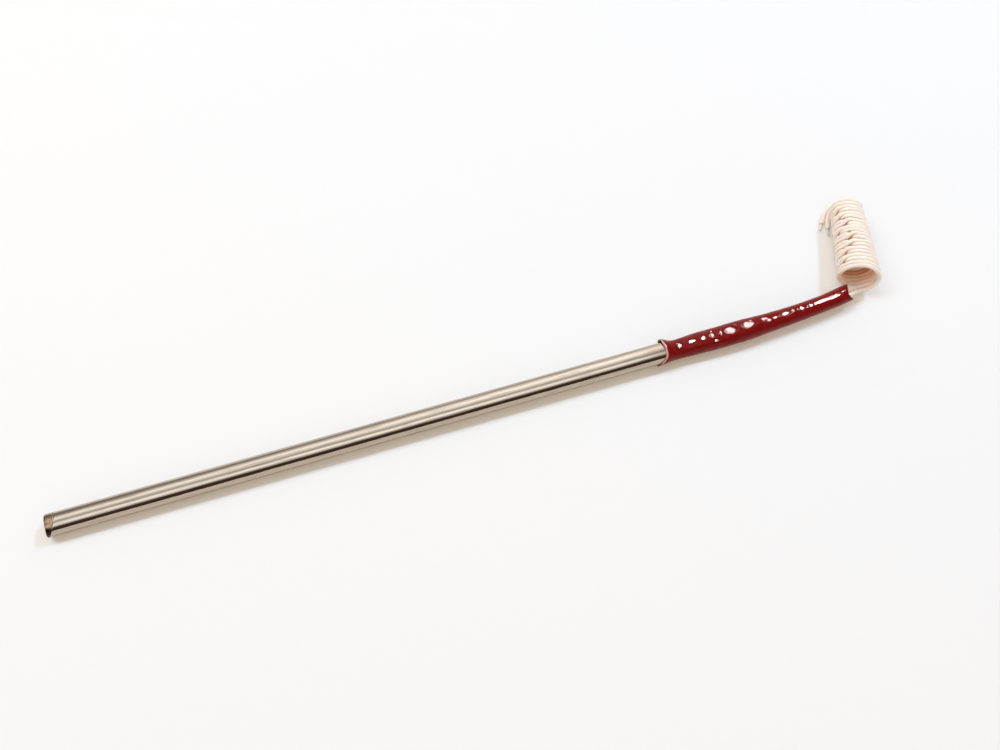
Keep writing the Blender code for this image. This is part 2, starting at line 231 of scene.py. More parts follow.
def smooth_route(knots, first_heading, last_heading, spacing):
    """Points along a smooth curve through the knots, with given directions at both ends."""
    headings = [first_heading.normalized()]
    headings += [(after - before).normalized() for before, after in zip(knots, knots[2:])]
    headings.append(last_heading.normalized())
    route = []
    for number, (start, end) in enumerate(zip(knots, knots[1:])):
        reach = (end - start).length / 3
        count = max(2, math.ceil(3 * reach / spacing) + 1)
        handles = (start + reach * headings[number], end - reach * headings[number + 1])
        route += interpolate_bezier(start, *handles, end, count)[:-1]
    return route + [knots[-1]]


# The pair is wound by hand: it sways along the coil and off its round, but not at the coil's ends, and its
# leads change places in most turns. LEAD_CROSSINGS gives the crossings' places in degrees, each in the next
# turn, with 90 at the top
TURN_POINTS = 48
PAIR_SWAY = 0.22 * MM
TURN_SWELL = 0.12 * MM
SWAY_GRAIN = 1.25
SWAY_DRIFT = 0.15
SWELL_SEED = Vector((0.0, 0.0, 9.0))
SWAYING_SHARE = (0.0, 0.125, 0.875, 1.0)
LEAD_CROSSINGS = (152, 140, 122, 116, 158, 124, 146, 150)
CROSSING_REACH = math.radians(20)
ROUTE_SPACING = 0.6 * MM
# Points of the first turn over which the lead comes to have an inner and an outer side
SIDED_FROM = 20


def pair_twist(angle):
    """Angle that the pair has twisted by, at an angle along its turns."""
    twist = 0.0
    for number, degrees in enumerate(LEAD_CROSSINGS):
        place = math.radians(degrees) + 2 * math.pi * (number + 1)
        twist += math.pi * fade(angle, place - CROSSING_REACH, place + CROSSING_REACH)
    return twist


def coil_turns(leg, gap):
    """Turns of one lead, from lower right over the top and away from the mouth, and their outward sides."""
    ring_yaw = COIL_YAW + COIL_LEAN
    right = Vector((math.cos(ring_yaw), -math.sin(ring_yaw), 0.0))
    beside = Vector((math.sin(ring_yaw), math.cos(ring_yaw), 0.0))
    start = sleeve_axis(SLEEVE_MOUTH) + COIL_OFFSET + COIL_AXIS * COIL_PITCH / 4
    count = round(COIL_TURNS * TURN_POINTS)
    turns = []
    outsides = []
    for number in range(count + 1):
        share = number / count
        angle = COIL_START_ANGLE + 2 * math.pi * number / TURN_POINTS
        radius = (COIL_BORE + (COIL_FAR_BORE - COIL_BORE) * share + LEAD_CORE) / 2
        centre = start + COIL_AXIS * COIL_PITCH * number / TURN_POINTS
        centre.z = bench_height(centre.x) + radius + LEAD_CORE / 2
        outward = math.cos(angle) * right + math.sin(angle) * UP
        spot = Vector((math.cos(angle), math.sin(angle), SWAY_DRIFT * angle)) * SWAY_GRAIN
        loose = plateau(share, *SWAYING_SHARE)
        sway = loose * PAIR_SWAY * noise.noise(spot)
        swell = loose * TURN_SWELL * noise.noise(spot + SWELL_SEED) * fade(math.sin(angle), -1.0, 0.0)
        twist = pair_twist(angle)
        aside = SIDE[leg] * gap / 2 * (math.cos(twist) * beside + math.sin(twist) * outward)
        turns.append(centre + (radius + swell) * outward + sway * COIL_AXIS + aside)
        outsides.append(outward * fade(number, 0, SIDED_FROM))
    return turns, outsides


def lead_path(leg, gap):
    """Route of a free lead from inside the sleeve, its last direction and each point's outward side."""
    turns, outsides = coil_turns(leg, gap)
    aside = SIDE[leg] * LEAD_STEP / 2
    root, mouth = (
        sleeve_axis(x) + aside * sleeve_across(x) for x in (SLEEVE_MOUTH - LEAD_EXIT_DEPTH, SLEEVE_MOUTH)
    )
    knots = [mouth] + [mouth + Vector(point) for point in LEAD_IN] + [turns[0]]
    lead_in = smooth_route(knots, sleeve_heading(SLEEVE_MOUTH), turns[1] - turns[0], ROUTE_SPACING)

    last = turns[-1]
    knots = [last]
    for across, along, up in LEAD_OUT[leg]:
        knots.append(last + across * COIL_ACROSS + along * COIL_AXIS + up * UP)
    across, along = LEAD_TIP[leg]
    tip = last + across * COIL_ACROSS + along * COIL_AXIS
    tip.z = bench_height(tip.x) + LEAD_CORE / 2
    level = tip - knots[-1]
    level.z = 0.0
    level.normalize()
    lead_out = smooth_route(knots + [tip], last - turns[-2], level, ROUTE_SPACING)
    path = [root] + lead_in[:-1] + turns + lead_out[1:] + [tip + level * LEAD_CORE]
    free = Vector((0.0, 0.0, 0.0))
    return path, level, [free] * len(lead_in) + outsides + [free] * len(lead_out)


def ring_frames(path):
    """Frame at each point of a path, with its Z axis along the path, carried on without twist."""
    frames = []
    across = None
    for number, point in enumerate(path):
        heading = (path[min(number + 1, len(path) - 1)] - path[max(number - 1, 0)]).normalized()
        across = heading.orthogonal() if across is None else across - heading * across.dot(heading)
        across.normalize()
        turn = Matrix((across, heading.cross(across), heading)).transposed().to_4x4()
        frames.append(Matrix.Translation(point) @ turn)
    return frames


def swept_mesh():
    """Empty bmesh with the layers that a sweep fills: a vertex's ring and side, and UVs."""
    bm = bmesh.new()
    bm.verts.layers.int.new("ring")
    bm.verts.layers.int.new("side")
    bm.loops.layers.uv.new("UVMap")
    return bm


def sweep(bm, path, radii, sides, capped=True):
    """Tube that a ring leaves, extruded from point to point. UVs are in turns round and metres along it."""
    ring_of = bm.verts.layers.int["ring"]
    side_of = bm.verts.layers.int["side"]
    uv = bm.loops.layers.uv["UVMap"]
    frames = [
        place @ Matrix.Diagonal((radius, radius, 1.0, 1.0)) for place, radius in zip(ring_frames(path), radii)
    ]
    ring = bmesh.ops.create_circle(bm, segments=sides, radius=1.0, matrix=frames[0])["verts"]
    for number, vert in enumerate(ring):
        vert[side_of] = number
        vert[ring_of] = 0
    first_edges = list(dict.fromkeys(edge for vert in ring for edge in vert.link_edges))
    edges = first_edges
    faces = []
    travelled = [0.0]
    for number in range(1, len(path)):
        made = bmesh.ops.extrude_edge_only(bm, edges=edges)["geom"]
        verts = [item for item in made if isinstance(item, bmesh.types.BMVert)]
        bmesh.ops.transform(bm, matrix=frames[number] @ frames[number - 1].inverted(), verts=verts)
        for vert in verts:
            vert[ring_of] = number
        fresh = set(verts)
        edges = [
            item for item in made if isinstance(item, bmesh.types.BMEdge) and fresh.issuperset(item.verts)
        ]
        faces += [item for item in made if isinstance(item, bmesh.types.BMFace)]
        travelled.append(travelled[-1] + (path[number] - path[number - 1]).length)
    if capped:
        for end in (first_edges, edges):
            faces += bmesh.ops.edgeloop_fill(bm, edges=end)["faces"]
    for face in faces:
        numbers = [loop.vert[side_of] for loop in face.loops]
        wraps = max(numbers) - min(numbers) > 1
        for loop, number in zip(face.loops, numbers):
            turn = sides if wraps and number == 0 else number
            loop[uv].uv = (turn / sides, travelled[loop.vert[ring_of]])


def turned(profile, steps):
    """Profile of (x, radius) points, spun about the X axis."""
    bm = bmesh.new()
    verts = [bm.verts.new((x, 0.0, radius)) for x, radius in profile]
    edges = [bm.edges.new(pair) for pair in zip(verts, verts[1:])]
    bmesh.ops.spin(
        bm, geom=verts + edges, cent=(0, 0, 0), axis=(1, 0, 0), angle=2 * math.pi, steps=steps, use_merge=True
    )
    bmesh.ops.remove_doubles(bm, verts=bm.verts, dist=0.0001 * MM)
    return bm


def arc(x, radius, size, first, last, count):
    """Points of (x, radius) on a quarter or less of a circle, by angle in degrees."""
    angles = [math.radians(first + (last - first) * number / count) for number in range(count + 1)]
    return [(x + size * math.cos(angle), radius + size * math.sin(angle)) for angle in angles]


def add_piece(name, bm, surface, slot, *nodes):
    """Make an object of a bmesh, ride it on the frame and let it stand for CAD nodes."""
    bmesh.ops.recalc_face_normals(bm, faces=bm.faces)
    mesh = bpy.data.meshes.new(name)
    bm.to_mesh(mesh)
    bm.free()
    mesh.shade_smooth()
    mesh.set_sharp_from_angle(angle=SHARP_ANGLE)
    mesh.materials.append(surface)
    piece = bpy.data.objects.new(name, mesh)
    bpy.context.scene.collection.objects.link(piece)
    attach(piece, BODY)
    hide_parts(*nodes)
    return piece


def set_sockets(tree, node, sockets):
    """Give a node's sockets a value, an output to link, or a node whose first output in use is linked."""
    for name, value in sockets.items():
        if isinstance(value, bpy.types.Node):
            value = next(output for output in value.outputs if output.enabled)
        if isinstance(value, bpy.types.NodeSocket):
            tree.links.new(value, node.inputs[name])
        else:
            node.inputs[name].default_value = value


def add_node(tree, kind, sockets=None, **settings):
    """New shader node with its settings and links."""
    made = tree.nodes.new("ShaderNode" + kind)
    for name, value in settings.items():
        setattr(made, name, value)
    set_sockets(tree, made, sockets or {})
    return made


def new_surface(name, **values):
    """Material with a Principled shader and the values that are the same all over it."""
    surface = bpy.data.materials.new(name)
    surface.use_nodes = True
    shader = surface.node_tree.nodes["Principled BSDF"]
    for socket, value in values.items():
        shader.inputs[socket.replace("_", " ")].default_value = value
    return surface, surface.node_tree, shader


def shaded(colour, share=1.0):
    """Colour with an alpha of 1, lighter or darker by a share."""
    return (*(min(part * share, 1.0) for part in colour), 1.0)


def link_finish(tree, shader, colour, roughness, height, depth, strength):
    """Link a colour, a roughness and a bump to the shader."""
    bump = add_node(tree, "Bump", {"Height": height, "Distance": depth, "Strength": strength})
    set_sockets(tree, shader, {"Base Color": colour, "Roughness": roughness, "Normal": bump})


# Marks that the die leaves: width, length, and the detail and roughness of their noise, for the lines, the
# bands that they gather in, and the dashes. Die lines are about 0.05 mm apart and are drawn wider here, so
# that they show
DIE_MARKS = (
    (0.3 * MM, 60 * MM, 4.0, 0.6),
    (1.5 * MM, 60 * MM, 2.0, 0.5),
    (0.4 * MM, 9 * MM, 3.0, 0.5),
)
DASH_DEPTH = 2.6
SCUFF_PLACE = (147.2 * MM, -3.0 * MM, 1.25 * MM)
SCUFF_SIZE = (2.8 * MM, 0.7 * MM, 0.9 * MM)


def drawn_stainless(colours):
    # Stainless tube drawn through a die: lengthwise lines smear the reflections across the tube, warm grey
    surface, tree, shader = new_surface("drawn stainless steel", Metallic=1.0)
    coords = add_node(tree, "TexCoord").outputs["Object"]
    marks = []
    for width, length, detail, grit in DIE_MARKS:
        space = add_node(tree, "Mapping", {"Vector": coords, "Scale": (width / length, 1.0, 1.0)})
        grain = {"Vector": space, "Scale": 1 / width, "Detail": detail, "Roughness": grit}
        marks.append(add_node(tree, "TexNoise", grain))
    lines, bands, dashes = marks
    worn = add_node(tree, "MapRange", {"Value": dashes, "From Min": 0.55, "From Max": 0.64, "To Max": 0.3})
    scuff_space = add_node(
        tree,
        "Mapping",
        {"Vector": coords, "Location": SCUFF_PLACE, "Scale": SCUFF_SIZE},
        vector_type="TEXTURE",
    )
    distance = add_node(tree, "VectorMath", {0: scuff_space}, operation="LENGTH")
    scuff = add_node(tree, "MapRange", {"Value": distance, "From Min": 0.5, "To Min": 1.0, "To Max": 0.0})
    scratches = add_node(
        tree, "MapRange", {"Value": lines, "From Min": 0.46, "From Max": 0.54, "To Max": 0.55}
    )
    scuffed = add_node(tree, "Math", {0: scuff, 1: scratches, 2: worn}, operation="MULTIPLY_ADD")
    streaks = {"Factor": bands, "A": shaded(colours.steel, 0.86), "B": shaded(colours.steel, 1.12)}
    streaked = add_node(tree, "Mix", streaks, data_type="RGBA")
    dulled = {"Factor": scuffed, "A": streaked, "B": shaded(colours.steel, 0.25)}
    colour = add_node(tree, "Mix", dulled, data_type="RGBA")
    roughness = add_node(
        tree, "MapRange", {"Value": lines, "From Min": 0.3, "From Max": 0.7, "To Min": 0.05, "To Max": 0.11}
    )
    height = add_node(tree, "Math", {0: dashes, 1: DASH_DEPTH, 2: lines}, operation="MULTIPLY_ADD")
    link_finish(tree, shader, colour, roughness, height, 0.02 * MM, 0.25)
    return surface


# Lathe marks are finer than this and are drawn wider, so that they show. At a scale of 1 a Wave texture
# repeats every WAVE_LENGTH
LATHE_MARK = 0.434 * MM
WAVE_LENGTH = 2 * math.pi / 20
OXIDE_PATCH = 0.9 * MM


def heat_tinted_weld(colours):
    # Plug turned on a lathe and welded in: fine rings round it, dulled by a brown and straw oxide next to
    # the bead, and darker towards its lower side on the camera's side
    surface, tree, shader = new_surface("heat-tinted welded stainless", Metallic=1.0)
    coords = add_node(tree, "TexCoord").outputs["Object"]
    cuts = {"Vector": coords, "Scale": WAVE_LENGTH / LATHE_MARK, "Distortion": 0.6, "Detail": 2.0}
    rings = add_node(tree, "TexWave", cuts, bands_direction="X")
    oxide = add_node(tree, "TexNoise", {"Vector": coords, "Scale": 1 / OXIDE_PATCH, "Detail": 5.0})
    # Darker towards the lower side on the camera's side: the oxide's darkest tone spreads there
    lower = add_node(tree, "VectorMath", {0: coords, 1: -FAR_SIDE}, operation="DOT_PRODUCT")
    darker_lower = add_node(
        tree, "MapRange", {"Value": lower, "From Min": 0.4 * MM, "From Max": 1.4 * MM, "To Max": 0.45}
    )
    burnt = add_node(tree, "Math", {0: oxide, 1: darker_lower}, operation="SUBTRACT")
    blotches = add_node(tree, "ValToRGB", {"Fac": burnt})
    stops = blotches.color_ramp.elements
    stops[0].position, stops[0].color = 0.1, shaded(colours.scorch)
    stops[1].position, stops[1].color = 0.64, shaded(colours.weld, 1.4)
    stops.new(0.42).color = shaded(colours.weld, 0.75)
    roughness = add_node(
        tree, "MapRange", {"Value": oxide, "From Min": 0.3, "From Max": 0.7, "To Min": 0.2, "To Max": 0.34}
    )
    link_finish(tree, shader, blotches, roughness, rings.outputs["Fac"], 0.02 * MM, 0.25)
    return surface


# The rim slants back toward the camera's side, and its pale edge fades into the red
RIM_EDGE = 0.3 * MM
RIM_FADE = 0.5 * MM
RIM_MOTTLE = 0.6 * MM
RIM_SLANT = 2.6 * MM
RIM_SLANT_TOWARD = Vector((0.0, -0.82, -0.57))
RIM_RADIUS = 3.74 * MM
SHRINK_MOTTLE = 2.2 * MM
SHRINK_PEEL = 0.9 * MM


def red_polyolefin(colours):
    # Heat-shrunk polyolefin: a hard gloss over a deep red body, thin and pale where its rim was stretched
    surface, tree, shader = new_surface(
        "red heat-shrink polyolefin",
        IOR=1.42,
        Specular_IOR_Level=0.15,
        Sheen_Weight=0.65,
        Sheen_Roughness=0.3,
        Sheen_Tint=(0.8, 0.2, 0.15, 1.0),
    )
    coords = add_node(tree, "TexCoord").outputs["Object"]
    mottle = add_node(tree, "TexNoise", {"Vector": coords, "Scale": 1 / SHRINK_MOTTLE, "Detail": 3.0})
    reds = {"Factor": mottle, "A": shaded(colours.shrink, 0.75), "B": shaded(colours.shrink, 1.25)}
    body = add_node(tree, "Mix", reds, data_type="RGBA")
    x = add_node(tree, "SeparateXYZ", {"Vector": coords}).outputs["X"]
    lower = add_node(
        tree, "VectorMath", {0: coords, 1: RIM_SLANT_TOWARD / RIM_RADIUS}, operation="DOT_PRODUCT"
    )
    lower = add_node(tree, "Math", {0: lower, 1: 0.0}, operation="MAXIMUM")
    lower = add_node(tree, "Math", {0: lower, 1: 2.0}, operation="POWER")
    along = add_node(tree, "Math", {0: lower, 1: RIM_SLANT, 2: x}, operation="MULTIPLY_ADD")
    ragged = add_node(tree, "Math", {0: mottle, 1: RIM_MOTTLE, 2: along}, operation="MULTIPLY_ADD")
    edge_end = SLEEVE_LOW.x + RIM_EDGE
    rim = add_node(
        tree,
        "MapRange",
        {"Value": ragged, "From Min": edge_end, "From Max": edge_end + RIM_FADE, "To Min": 1.0, "To Max": 0.0},
        interpolation_type="SMOOTHSTEP",
    )
    # Pale rim of thin stretched plastic, painted lighter toward the camera and lamps, painted shade on the far
    # side
    upper = add_node(tree, "VectorMath", {0: coords, 1: FACING}, operation="DOT_PRODUCT")
    lit = add_node(tree, "MapRange", {"Value": upper, "From Min": 0.3 * MM, "From Max": 1.8 * MM})
    pale = {"Factor": lit, "A": shaded(colours.shrink_rim, 0.25), "B": shaded(colours.shrink_rim, 0.9)}
    edge = add_node(tree, "Mix", pale, data_type="RGBA")
    colour = add_node(tree, "Mix", {"Factor": rim, "A": body, "B": edge}, data_type="RGBA")
    roughness = add_node(
        tree, "MapRange", {"Value": mottle, "From Min": 0.3, "From Max": 0.7, "To Min": 0.08, "To Max": 0.14}
    )
    peel = add_node(tree, "TexNoise", {"Vector": coords, "Scale": 1 / SHRINK_PEEL, "Detail": 1.0})
    link_finish(tree, shader, colour, roughness, peel, 0.03 * MM, 0.05)
    return surface


# Painted shade tints the braid amber on the inner side of the turns, from a little at the coil's mouth to
# AMBER_SHARE at AMBER_DEPTH, and deeper past that share. The hollows between the yarns get a lighter painted
# shade. Yarns are finer than this and are drawn wider, so that they show
AMBER = (1.0, 0.84, 0.68)
DEEP_AMBER = (0.7, 0.34, 0.16)
SHADED_HOLLOW = (0.95, 0.9, 0.82)
AMBER_SHARE = 0.6
MOUTH_AMBER = 0.25
AMBER_DEPTH = 7.0 * MM
BRAID_CARRIERS = 8
BRAID_PITCH = 2.4 * MM
BRAID_STAIN = 5 * MM


def glass_braid(colours):
    # Varnished glass braid over the conductor: two sets of fine yarns that cross, cream outside. Painted shade
    # makes it darker between the yarns and amber on the inner side of the turns
    surface, tree, shader = new_surface(
        "varnished glass braid",
        IOR=1.5,
        Specular_IOR_Level=0.12,
        Subsurface_Weight=0.7,
        Subsurface_Radius=(1.0, 0.55, 0.3),
        Subsurface_Scale=1.0 * MM,
    )
    texture = add_node(tree, "TexCoord")
    place = add_node(tree, "SeparateXYZ", {"Vector": texture.outputs["UV"]})
    half_turn = math.pi * BRAID_CARRIERS
    along = add_node(tree, "Math", {0: place.outputs["Y"], 1: half_turn / BRAID_PITCH}, operation="MULTIPLY")
    yarns = []
    for turn in (half_turn, -half_turn):
        phase = add_node(tree, "Math", {0: place.outputs["X"], 1: turn, 2: along}, operation="MULTIPLY_ADD")
        wave = add_node(tree, "Math", {0: phase}, operation="SINE")
        yarns.append(add_node(tree, "Math", {0: wave}, operation="ABSOLUTE"))
    weave = add_node(tree, "Math", {0: yarns[0], 1: yarns[1]}, operation="MAXIMUM")
    coords = texture.outputs["Object"]
    stain = add_node(tree, "TexNoise", {"Vector": coords, "Scale": 1 / BRAID_STAIN, "Detail": 2.0})
    creams = {"Factor": stain, "A": shaded(colours.braid, 0.93), "B": shaded(colours.braid, 1.02)}
    varnish = add_node(tree, "Mix", creams, data_type="RGBA")
    # Painted shade colours: the yarns' hollows, amber and deep amber
    hollow, amber, deep = (
        shaded([part * share for part, share in zip(colours.braid, tint)])
        for tint in (SHADED_HOLLOW, AMBER, DEEP_AMBER)
    )
    raised = add_node(tree, "MapRange", {"Value": weave, "From Min": 0.4, "From Max": 0.85})
    colour = add_node(tree, "Mix", {"Factor": raised, "A": hollow, "B": varnish}, data_type="RGBA")
    # The inside attribute sets how much painted shade, amber then deep amber, a spot of the braid gets
    inside = add_node(tree, "Attribute", attribute_name="inside").outputs["Fac"]
    for tint, start, end in ((amber, 0.0, AMBER_SHARE), (deep, AMBER_SHARE, 1.0)):
        share = add_node(tree, "MapRange", {"Value": inside, "From Min": start, "From Max": end})
        colour = add_node(tree, "Mix", {"Factor": share, "A": colour, "B": tint}, data_type="RGBA")
    roughness = add_node(tree, "MapRange", {"Value": weave, "From Min": 0.4, "To Min": 0.7, "To Max": 0.5})
    link_finish(tree, shader, colour, roughness, weave, 0.04 * MM, 0.5)
    return surface


def grained(name, colour, grain, contrast, roughness, depth, metal):
    """Finish with a fine grain: its size in metres and contrast, the mean roughness and the bump's depth."""
    surface, tree, shader = new_surface(name, Metallic=metal)
    coords = add_node(tree, "TexCoord").outputs["Object"]
    speckle = add_node(tree, "TexNoise", {"Vector": coords, "Scale": 1 / grain, "Detail": 4.0})
    tones = {"Factor": speckle, "A": shaded(colour, 1 - contrast), "B": shaded(colour, 1 + contrast)}
    mixed = add_node(tree, "Mix", tones, data_type="RGBA")
    dullness = {"From Min": 0.3, "From Max": 0.7, "To Min": 0.8 * roughness, "To Max": 1.2 * roughness}
    dull = add_node(tree, "MapRange", {"Value": speckle, **dullness})
    link_finish(tree, shader, mixed, dull, speckle, depth, 0.4)
    return surface


# Tinned strands: bright, faintly clouded silver
TINNED_COPPER = (0.2 * MM, 0.1, 0.3, 0.01 * MM, 1.0)
# Drawn element wires: dull grey with a fine, dry grain
DRAWN_ALLOY = (0.15 * MM, 0.1, 0.35, 0.01 * MM, 1.0)

# Finishes of the parts inside, by the start of the node's name: material, colour, then what grained() takes
INNER_FINISHES = {
    # Fused bead: clouded metal with a rough, cooled skin
    "hot_junction": ("fused alloy bead", "positive_alloy", (0.3 * MM, 0.2, 0.35, 0.02 * MM, 1.0)),
    "thermowire_positive": ("positive nickel alloy wire", "positive_alloy", DRAWN_ALLOY),
    "thermowire_negative": ("negative nickel alloy wire", "negative_alloy", DRAWN_ALLOY),
    # Pressed and fired: matt white with a very fine grain
    "insulator": ("fired alumina", "ceramic", (0.12 * MM, 0.05, 0.55, 0.01 * MM, 0.0)),
    # Packed cement: grey, coarse and chalky
    "end_seal": ("sealing cement", "cement", (0.35 * MM, 0.25, 0.9, 0.05 * MM, 0.0)),
    # Tinned barrel: soft silver with faint clouds
    "crimp": ("tinned brass", "tin", (0.25 * MM, 0.12, 0.32, 0.01 * MM, 1.0)),
    # Woven glass: pale yarn with a soft, uneven face
    "splice_sleeve": ("woven glass sleeving", "sleeving", (0.2 * MM, 0.12, 0.75, 0.04 * MM, 0.0)),
    # The same braid as outside, where only its grain counts
    "lead_root": ("braid inside the sleeve", "braid", (0.25 * MM, 0.1, 0.6, 0.03 * MM, 0.0)),
}


class FLAMEPROBE_OT_stage(bpy.types.Operator):
    """Set the camera, the bench, the softboxes and the studio round them"""

    bl_idname = "flame_probe.stage"
    bl_label = "Stage"

    def execute(self, context):
        settings = context.scene.probe_stage
        context.scene.view_settings.view_transform = "Standard"
        place_camera(settings)
        lay_bench(settings, context.scene.probe_sizes.lead_diameter)
        hang_softboxes(settings)
        paint_studio(context.scene, settings)
        return {"FINISHED"}


class FLAMEPROBE_OT_leads(bpy.types.Operator):
    """Wind the two braided leads and strip their ends"""

    bl_idname = "flame_probe.leads"
    bl_label = "Leads"

    def execute(self, context):
        colours = context.scene.probe_colours
        braid = glass_braid(colours)
        tinned = grained("tinned copper", colours.tin, *TINNED_COPPER)
        for leg in SIDE:
            wind_lead(leg, context.scene.probe_sizes, braid, tinned)
        return {"FINISHED"}


class FLAMEPROBE_OT_sheath(bpy.types.Operator):
    """Draw the steel sheath and weld the plug into its tip"""

    bl_idname = "flame_probe.sheath"
    bl_label = "Sheath and tip"

    def execute(self, context):
        sizes = context.scene.probe_sizes
        colours = context.scene.probe_colours
        draw_sheath(sizes, drawn_stainless(colours))
        weld_tip(sizes, heat_tinted_weld(colours))
        return {"FINISHED"}


class FLAMEPROBE_OT_sleeve(bpy.types.Operator):
    """Shrink the red sleeve over the splices"""

    bl_idname = "flame_probe.sleeve"
    bl_label = "Heat-shrink sleeve"

    def execute(self, context):
        shrink_sleeve(context.scene.probe_sizes, red_polyolefin(context.scene.probe_colours))
        return {"FINISHED"}


class FLAMEPROBE_OT_inner_parts(bpy.types.Operator):
    """Finish the element and the splices inside, which stay as the frame has them"""

    bl_idname = "flame_probe.inner_parts"
    bl_label = "Element and splices"

    def execute(self, context):
        for start, (material, colour, finish) in INNER_FINISHES.items():
            surface = grained(material, getattr(context.scene.probe_colours, colour), *finish)
            for name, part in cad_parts.items():
                if name.startswith(start):
                    part.data.materials.clear()
                    part.data.materials.append(surface)
        return {"FINISHED"}


def place_camera(settings):
    """Camera at the photograph's place, with a lens that matches a frame of 1000 by 750."""
    ahead = Vector((math.sin(settings.camera_turn), math.cos(settings.camera_turn), 0.0))
    right = ahead.cross(UP)
    view = ahead * math.cos(settings.camera_elevation) - UP * math.sin(settings.camera_elevation)
    lens = bpy.data.cameras.new("camera")
    lens.lens = settings.camera_lens
    lens.sensor_width = 36.0
    lens.clip_start = 0.005
    camera = bpy.data.objects.new("camera", lens)
    turn = Matrix((right, right.cross(view), -view)).transposed().to_4x4()
    camera.matrix_world = Matrix.Translation(settings.camera_place) @ turn
    bpy.context.scene.collection.objects.link(camera)
    bpy.context.scene.camera = camera


# The board's lift is warm near the probe and cooler and full at the distances where the lamps fade
BENCH_REACH = 2.5
BENCH_GRAIN = 1.5 * MM
BENCH_CONTRAST = 0.005
LIFT = "FFEEC5"
FAR_LIFT = "BAC6CB"
FAR_LIFT_FROM = 0.25
FAR_LIFT_TO = 2.0


def lay_bench(settings, lead_diameter):
    """Matt white board, tilted as the probe lies on it, just below the leads."""
    bm = bmesh.new()
    bmesh.ops.create_circle(bm, cap_ends=True, segments=96, radius=BENCH_REACH)
    slope = math.atan2(bench_height(0.0) - bench_height(SLEEVE_LOW.x), SLEEVE_LOW.x)
    height = bench_height(0.0) - (lead_diameter - LEAD_CORE) / 2
    tilt = Matrix.Translation((0.0, 0.0, height)) @ Matrix.Rotation(slope, 4, "Y")
    bmesh.ops.transform(bm, matrix=tilt, verts=bm.verts)
    mesh = bpy.data.meshes.new("bench")
    bm.to_mesh(mesh)
    bm.free()

    # Matt laminate: nearly even white, lifted a little where it is seen directly, and more where the lamps
    # fade
    surface, tree, shader = new_surface("matt white laminate", Roughness=0.75, Specular_IOR_Level=0.0)
    coords = add_node(tree, "TexCoord").outputs["Object"]
    grain = add_node(tree, "TexNoise", {"Vector": coords, "Scale": 1 / BENCH_GRAIN, "Detail": 2.0})
    dark, pale = (shaded(settings.bench, 1 + side * BENCH_CONTRAST) for side in (-1, 1))
    colour = add_node(tree, "Mix", {"Factor": grain, "A": dark, "B": pale}, data_type="RGBA")
    distance = add_node(tree, "VectorMath", {0: coords}, operation="LENGTH")
    far = add_node(
        tree,
        "MapRange",
        {"Value": distance, "From Min": FAR_LIFT_FROM, "From Max": FAR_LIFT_TO},
        interpolation_type="SMOOTHSTEP",
    )
    near_lift = shaded(linear(LIFT), settings.bench_lift)
    far_lift = shaded(linear(FAR_LIFT))
    lift = add_node(tree, "Mix", {"Factor": far, "A": near_lift, "B": far_lift}, data_type="RGBA")
    # The lift shows to the camera, in metal and through glass, but lights nothing
    rays, mirrored = ray_kinds(tree)
    seen = add_node(tree, "Math", {0: rays.outputs["Is Camera Ray"], 1: mirrored}, operation="MAXIMUM")
    set_sockets(tree, shader, {"Base Color": colour, "Emission Color": lift, "Emission Strength": seen})
    mesh.materials.append(surface)
    bench = bpy.data.objects.new("bench", mesh)
    bpy.context.scene.collection.objects.link(bench)


def ray_kinds(tree):
    """Light Path node, and a node that is 1 for rays that metal mirrors or glass lets through."""
    rays = add_node(tree, "LightPath")
    kinds = {0: rays.outputs["Is Glossy Ray"], 1: rays.outputs["Is Transmission Ray"]}
    return rays, add_node(tree, "Math", kinds, operation="MAXIMUM")


# Softboxes over the probe: leans to the right and to the far side in degrees, and sizes
BOX_DISTANCE = 1.3
KEY_LEAN = (-24.0, 22.0)
KEY_SIZE = (1.25, 0.3)
SIDE_LEAN = (38.0, 17.0)
SIDE_SIZE = (0.1, 0.14)
GLINT_LEAN = (38.9, 17.0)
GLINT_SIZE = (0.06, 0.36)
KEY_COLOUR = "E8F5FF"
SIDE_COLOUR = "AFDBFF"
GLINT_COLOUR = "FFF4F0"
AIM = Vector((0.13, 0.0, 0.0))


def hang_softboxes(settings):
    """Softboxes: a long one over the tube and a small one at the right for light, and one there for glints."""
    boxes = (
        ("key_softbox", KEY_LEAN, KEY_SIZE, settings.key_level, KEY_COLOUR, "visible_glossy"),
        ("side_softbox", SIDE_LEAN, SIDE_SIZE, settings.side_level, SIDE_COLOUR, "visible_glossy"),
        ("side_glint", GLINT_LEAN, GLINT_SIZE, settings.glint_level, GLINT_COLOUR, "visible_diffuse"),
    )
    for name, (rightward, farward), (length, width), level, colour, unseen in boxes:
        toward = Vector((math.tan(math.radians(rightward)), math.tan(math.radians(farward)), 1.0)).normalized()
        lamp = bpy.data.lights.new(name, "AREA")
        lamp.shape = "RECTANGLE"
        lamp.size = length
        lamp.size_y = width
        lamp.energy = level * math.pi * length * width
        lamp.color = linear(colour)
        across = (Vector((1.0, 0.0, 0.0)) - toward * toward.x).normalized()
        turn = Matrix((across, toward.cross(across), toward)).transposed().to_4x4()
        box = bpy.data.objects.new(name, lamp)
        setattr(box, unseen, False)
        box.matrix_world = Matrix.Translation(AIM + toward * BOX_DISTANCE) @ turn
        bpy.context.scene.collection.objects.link(box)


